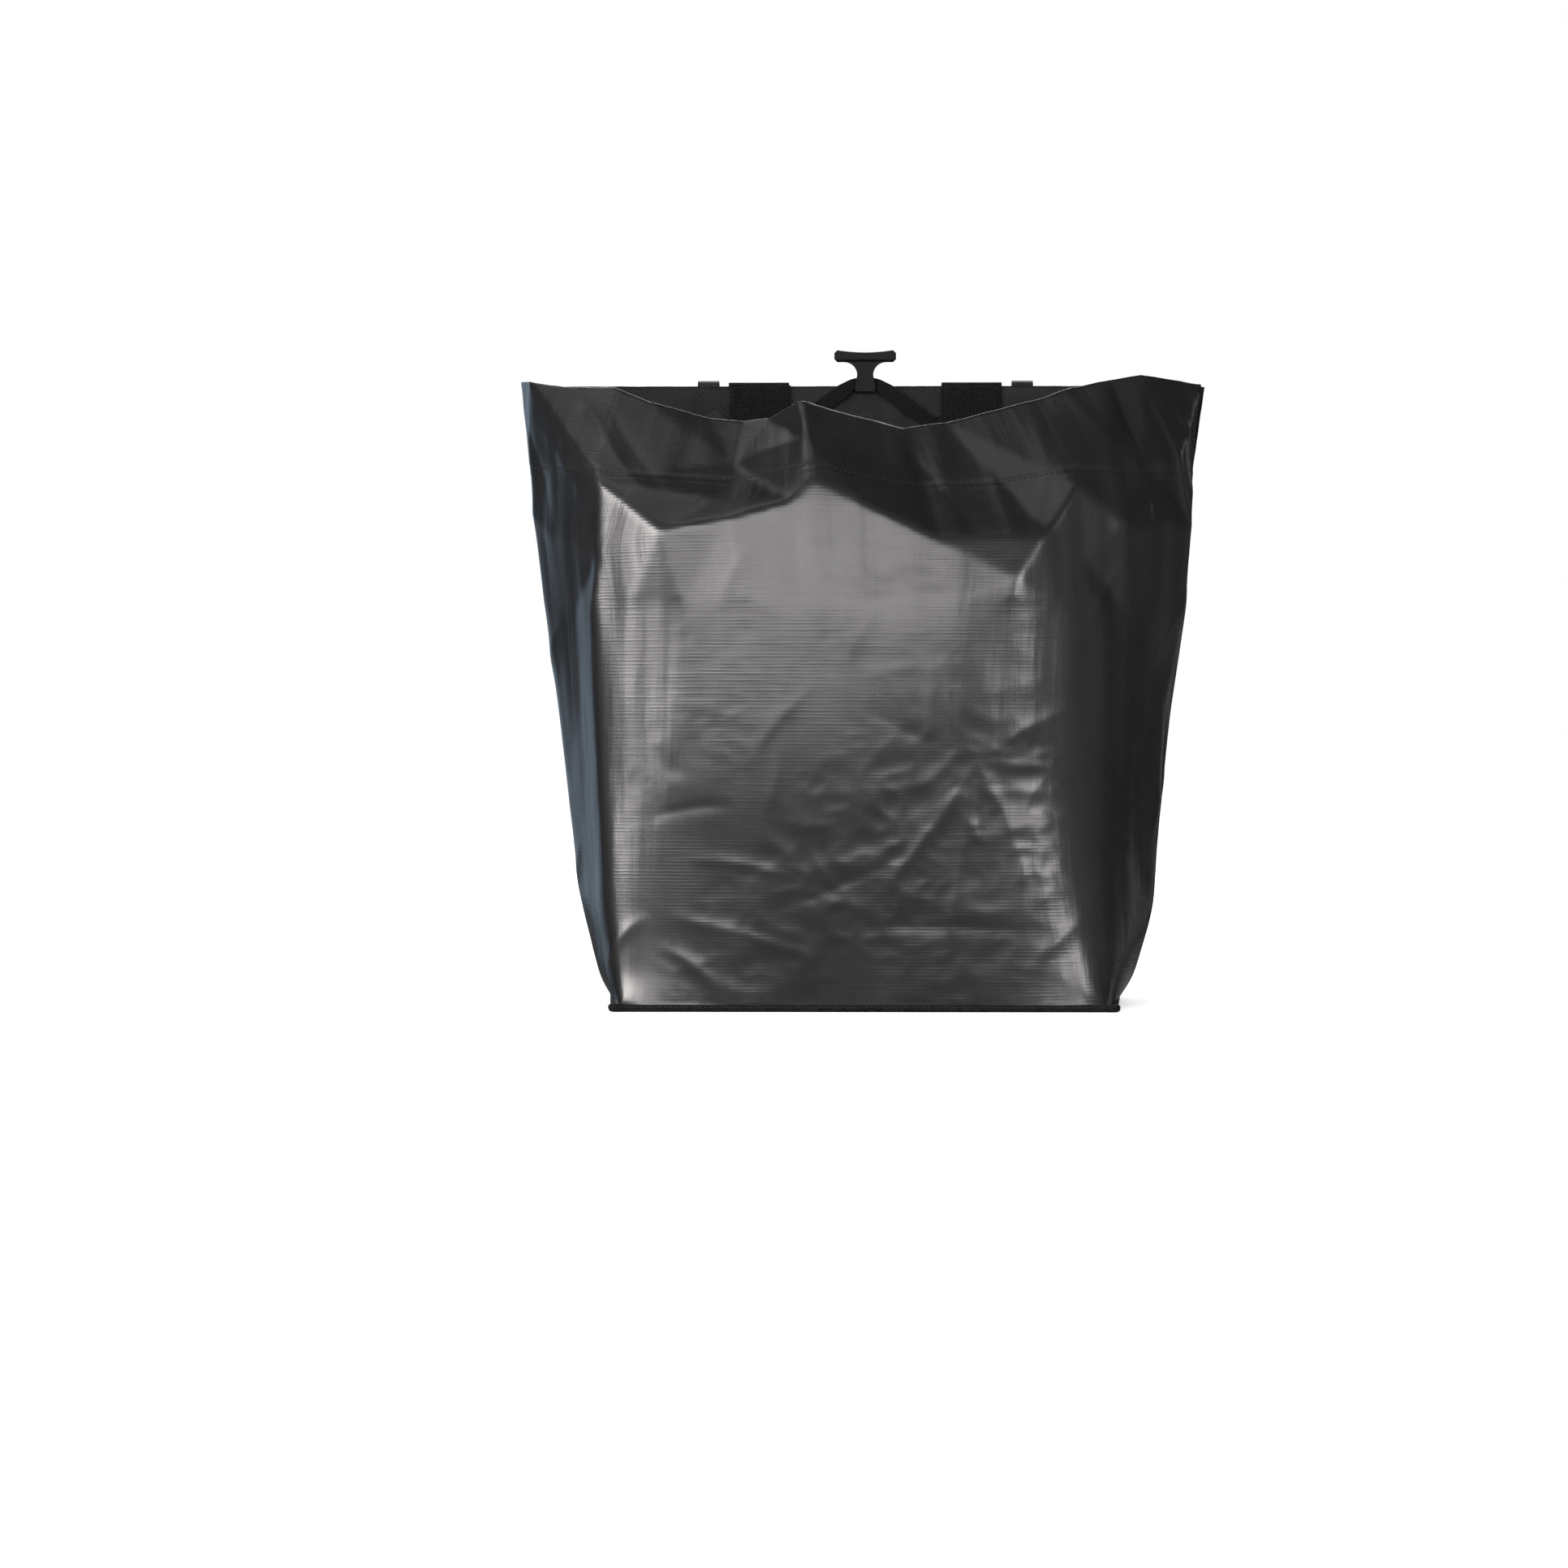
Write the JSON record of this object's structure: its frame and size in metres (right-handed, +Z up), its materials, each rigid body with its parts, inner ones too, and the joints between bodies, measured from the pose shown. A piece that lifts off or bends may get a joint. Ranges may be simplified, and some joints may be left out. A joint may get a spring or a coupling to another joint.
{
  "type": "bicycle pannier bag",
  "caption": "Open-topped shopper pannier of coated cloth on a stiff back, with rack hooks on a rail, a webbing carry handle and an elastic T-shaped pull.",
  "frame": {"origin": "on the floor under the middle of the whole bag's bounding box, hooks included", "axes": "+Z up, +Y from the bag's front towards the bicycle rack, +X to the right for someone who looks at the front"},
  "size_m": [0.444, 0.2192, 0.426],
  "materials": {
    "tarpaulin": "glossy black coated weave",
    "lining": "satin dark grey coated weave",
    "binding_tape": "satin black folded tape",
    "stiffener_plastic": "matte sheet",
    "rail_aluminium": "black anodised, satin",
    "hook_nylon": "moulded, fine texture",
    "liner_rubber": "matte",
    "fastener_steel": "black plated",
    "webbing": "matte black ribbed webbing",
    "elastic_fabric": "matte black braided elastic",
    "patch_cloth": "satin black coated cloth",
    "pull_rubber": "satin moulded rubber"
  },
  "bodies": {
    "shell": {"back_panel": "tarpaulin", "front_wrap": "tarpaulin", "base_panel": "tarpaulin", "back_lining": "lining", "side_binding_left": "binding_tape", "side_binding_right": "binding_tape", "back_top_binding": "binding_tape", "base_binding": "binding_tape", "back_board": "stiffener_plastic", "base_board": "stiffener_plastic", "hook_rail": "rail_aluminium", "rail_cap_left": "hook_nylon", "rail_cap_right": "hook_nylon", "rail_rivets": "fastener_steel", "rivet_washers": "fastener_steel", "handle_end_left": "webbing", "handle_end_right": "webbing", "elastic_tab_left": "patch_cloth", "elastic_tab_right": "patch_cloth"},
    "hook_left": {"hook_left": "hook_nylon", "hook_liner_left": "liner_rubber", "hook_nut_plate_left": "fastener_steel", "hook_screws_left": "fastener_steel"},
    "hook_right": {"hook_right": "hook_nylon", "hook_liner_right": "liner_rubber", "hook_nut_plate_right": "fastener_steel", "hook_screws_right": "fastener_steel"},
    "elastic": {"elastic_band": "elastic_fabric"},
    "pull": {"t_pull": "pull_rubber"},
    "handle": {"carry_handle": "webbing"}
  },
  "joints": [
    {"name": "hook_left_slide", "type": "slide", "parent": "shell", "child": "hook_left", "axis": [1, 0, 0], "range_m": [-0.06, 0]},
    {"name": "hook_right_slide", "type": "slide", "parent": "shell", "child": "hook_right", "axis": [1, 0, 0], "range_m": [0, 0.06]},
    {"name": "handle_swing", "type": "hinge", "parent": "shell", "child": "handle", "pos_m": [0, 0.0714, 0.4043], "axis": [1, 0, 0], "range_deg": [0, 180]},
    {"name": "pull_stretch", "type": "slide", "parent": "shell", "child": "elastic", "axis": [0, 0, 1], "range_m": [0, 0.04], "stiffness_N_per_m": 150, "deforming": ["elastic_band"]},
    {"name": "pull_swing", "type": "hinge", "parent": "elastic", "child": "pull", "pos_m": [0, 0.0686, 0.4048], "axis": [-1, 0, 0], "range_deg": [0, 60], "stiffness_Nm_per_rad": 0.02}
  ]
}
